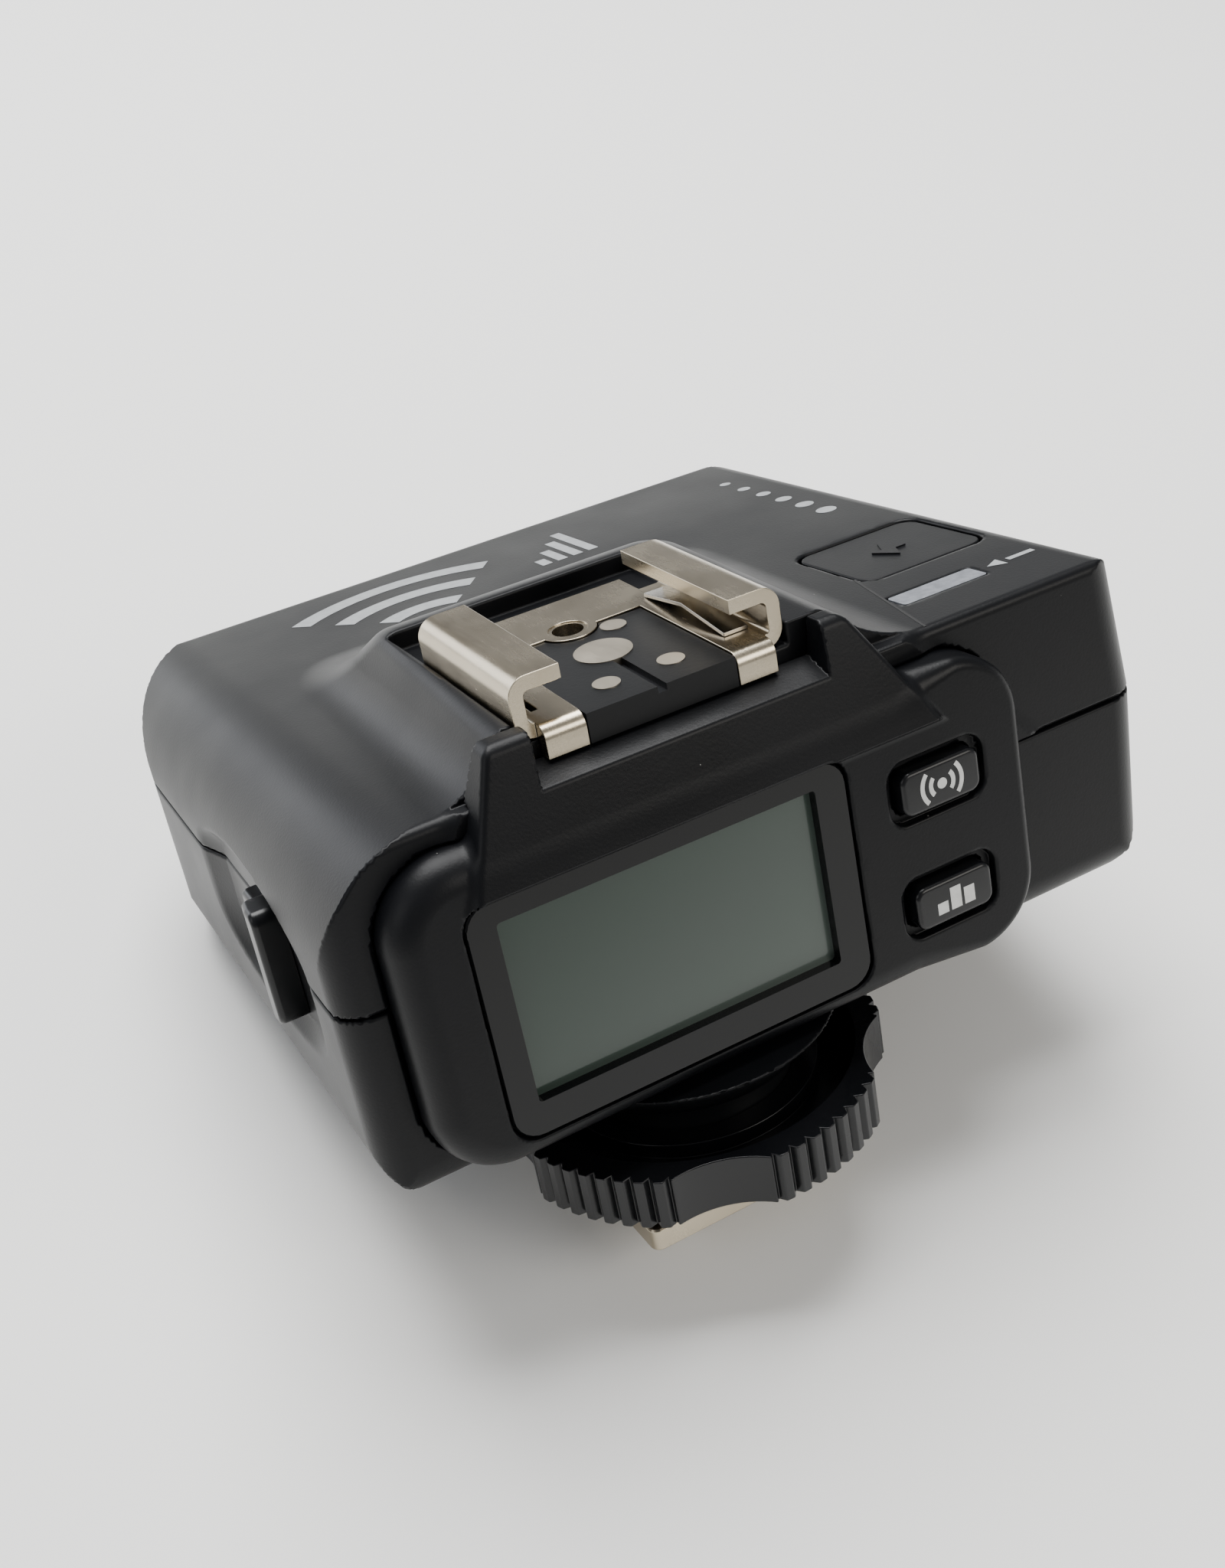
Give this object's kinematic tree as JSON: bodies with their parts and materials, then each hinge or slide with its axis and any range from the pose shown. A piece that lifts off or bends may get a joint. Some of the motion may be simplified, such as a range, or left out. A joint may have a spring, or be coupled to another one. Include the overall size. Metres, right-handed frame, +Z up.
{
  "type": "wireless flash trigger",
  "caption": "Compact radio flash receiver with a locking accessory foot below, a pass-through hot shoe on top, a display and keys at the back.",
  "frame": {"origin": "centre of the foot plate's underside", "axes": "+X to the user's right when facing the display, +Y forward away from the user, +Z up"},
  "size_m": [0.07, 0.07, 0.047],
  "materials": {
    "case_plastic": "fine satin texture",
    "key_plastic": "satin",
    "ring_plastic": "satin",
    "window": "clear, dark printed border",
    "lcd": "reflective display glass",
    "diffuser": "frosted",
    "nickel": "satin nickel plate",
    "contact": "nickel-gold plate, worn",
    "insulator": "satin",
    "spring_steel": "bright",
    "screw_steel": "blackened",
    "circuit_board": "green solder mask",
    "component": "moulded",
    "cell_can": "printed sleeve"
  },
  "bodies": {
    "case": {"upper_shell": "case_plastic", "lower_shell": "case_plastic", "display_bezel": "case_plastic", "display_window": "window", "lcd_panel": "lcd", "backlight_frame": "diffuser", "key_switches": "component", "key_board": "circuit_board", "shoe_rails": "nickel", "shoe_spring": "spring_steel", "contact_carrier": "insulator", "middle_contact": "contact", "signal_contacts": "contact", "pin_socket": "nickel", "test_switch": "component", "status_lens": "diffuser", "status_led": "diffuser", "power_switch": "component", "foot_plate": "nickel", "foot_screws": "screw_steel", "foot_stem": "insulator", "stem_screws": "screw_steel", "battery_cells": "cell_can", "battery_contacts": "spring_steel", "main_board": "circuit_board", "board_chips": "component", "radio_module": "circuit_board", "radio_shield": "nickel", "antenna": "spring_steel", "sync_jack": "insulator", "usb_port": "nickel", "shell_screws": "screw_steel"},
    "battery_door": {"battery_door": "case_plastic"},
    "channel_key": {"channel_key": "key_plastic"},
    "group_key": {"group_key": "key_plastic"},
    "test_button": {"test_button": "key_plastic"},
    "power_slider": {"power_slider": "key_plastic"},
    "clamp_washer": {"clamp_washer": "spring_steel"},
    "lock_ring": {"lock_ring": "ring_plastic"},
    "foot_pin_middle": {"foot_pin_middle": "contact"},
    "foot_pin_front": {"foot_pin_front": "contact"},
    "foot_pin_right": {"foot_pin_right": "contact"},
    "foot_pin_left": {"foot_pin_left": "contact"},
    "lock_pin": {"lock_pin": "nickel"}
  },
  "joints": [
    {"name": "door_slide", "type": "slide", "parent": "case", "child": "battery_door", "axis": [0, 1, 0], "range_m": [0, 0.034]},
    {"name": "channel_press", "type": "slide", "parent": "case", "child": "channel_key", "axis": [0, 0.9993, -0.0366], "range_m": [0, 0.0004], "stiffness_N_per_m": 1500},
    {"name": "group_press", "type": "slide", "parent": "case", "child": "group_key", "axis": [0, 0.9993, -0.0366], "range_m": [0, 0.0004], "stiffness_N_per_m": 1500},
    {"name": "test_press", "type": "slide", "parent": "case", "child": "test_button", "axis": [0, -0.0645, -0.9979], "range_m": [0, 0.0005], "stiffness_N_per_m": 1500},
    {"name": "power_slide", "type": "slide", "parent": "case", "child": "power_slider", "axis": [0, 1, 0], "range_m": [0, 0.004]},
    {"name": "ring_drop", "type": "slide", "parent": "case", "child": "clamp_washer", "axis": [0, 0, -1], "range_m": [0, 0.002]},
    {"name": "ring_turn", "type": "hinge", "parent": "clamp_washer", "child": "lock_ring", "pos_m": [0, 0, 0.006], "axis": [0, 0, -1], "range_deg": [0, 720]},
    {"name": "foot_pin_middle_press", "type": "slide", "parent": "case", "child": "foot_pin_middle", "axis": [0, 0, 1], "range_m": [0, 0.0005], "stiffness_N_per_m": 300},
    {"name": "foot_pin_front_press", "type": "slide", "parent": "case", "child": "foot_pin_front", "axis": [0, 0, 1], "range_m": [0, 0.0005], "stiffness_N_per_m": 300},
    {"name": "foot_pin_right_press", "type": "slide", "parent": "case", "child": "foot_pin_right", "axis": [0, 0, 1], "range_m": [0, 0.0005], "stiffness_N_per_m": 300},
    {"name": "foot_pin_left_press", "type": "slide", "parent": "case", "child": "foot_pin_left", "axis": [0, 0, 1], "range_m": [0, 0.0005], "stiffness_N_per_m": 300},
    {"name": "lock_pin_press", "type": "slide", "parent": "case", "child": "lock_pin", "axis": [0, 0, 1], "range_m": [0, 0.0012], "stiffness_N_per_m": 300}
  ]
}
